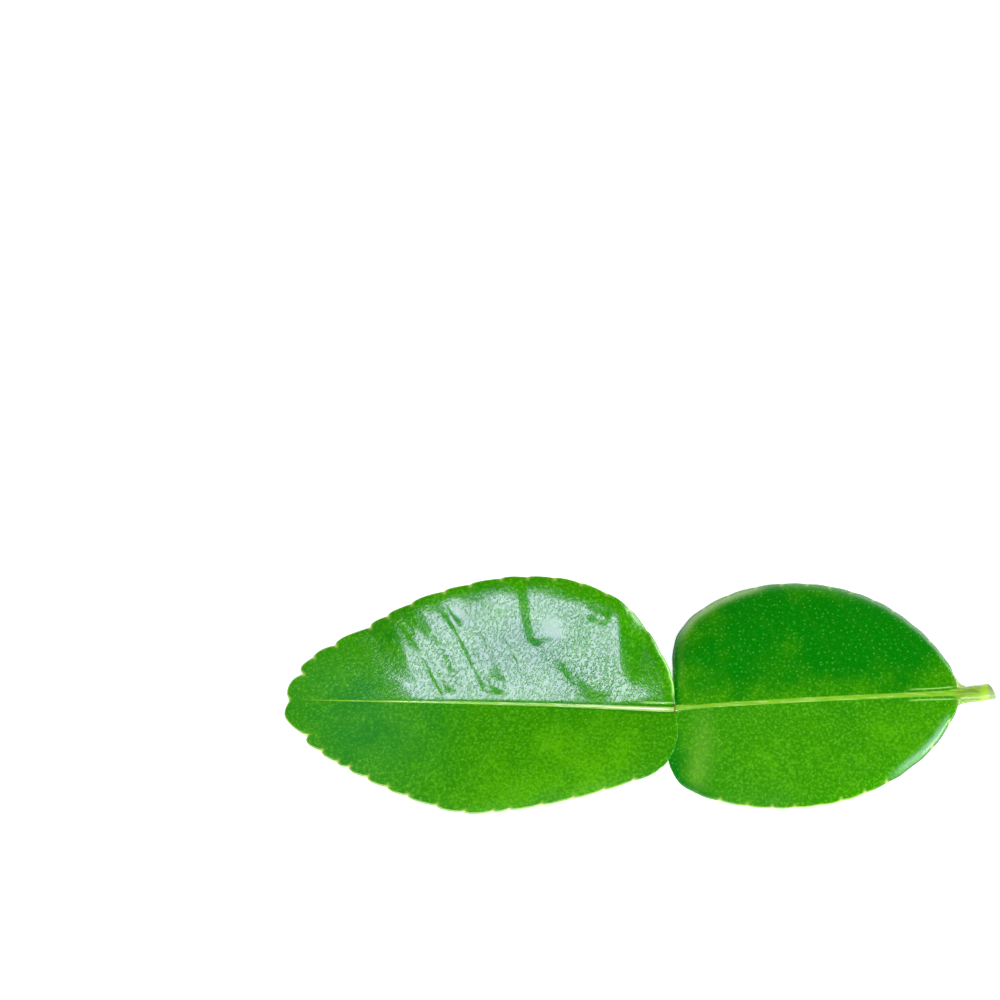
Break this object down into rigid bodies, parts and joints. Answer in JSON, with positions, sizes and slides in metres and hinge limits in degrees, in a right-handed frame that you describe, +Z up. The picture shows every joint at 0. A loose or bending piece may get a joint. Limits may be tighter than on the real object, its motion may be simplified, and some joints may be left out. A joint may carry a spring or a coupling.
{
  "type": "lime leaf",
  "caption": "Makrut lime leaf as picked, with a toothed blade, a broad winged petiole and a short cut stub of stalk, lying on its underside.",
  "frame": {"origin": "middle of the leaf's bounding box, on the surface it lies on", "axes": "+X along the leaf from the tip towards the stalk, +Y across the leaf, +Z up out of its glossy face"},
  "size_m": [0.1174, 0.0414, 0.0056],
  "materials": {
    "leaf": "waxy, leathery leaf, glossy above and matt below"
  },
  "bodies": {
    "root": {"lime_leaf": "leaf"}
  },
  "joints": []
}
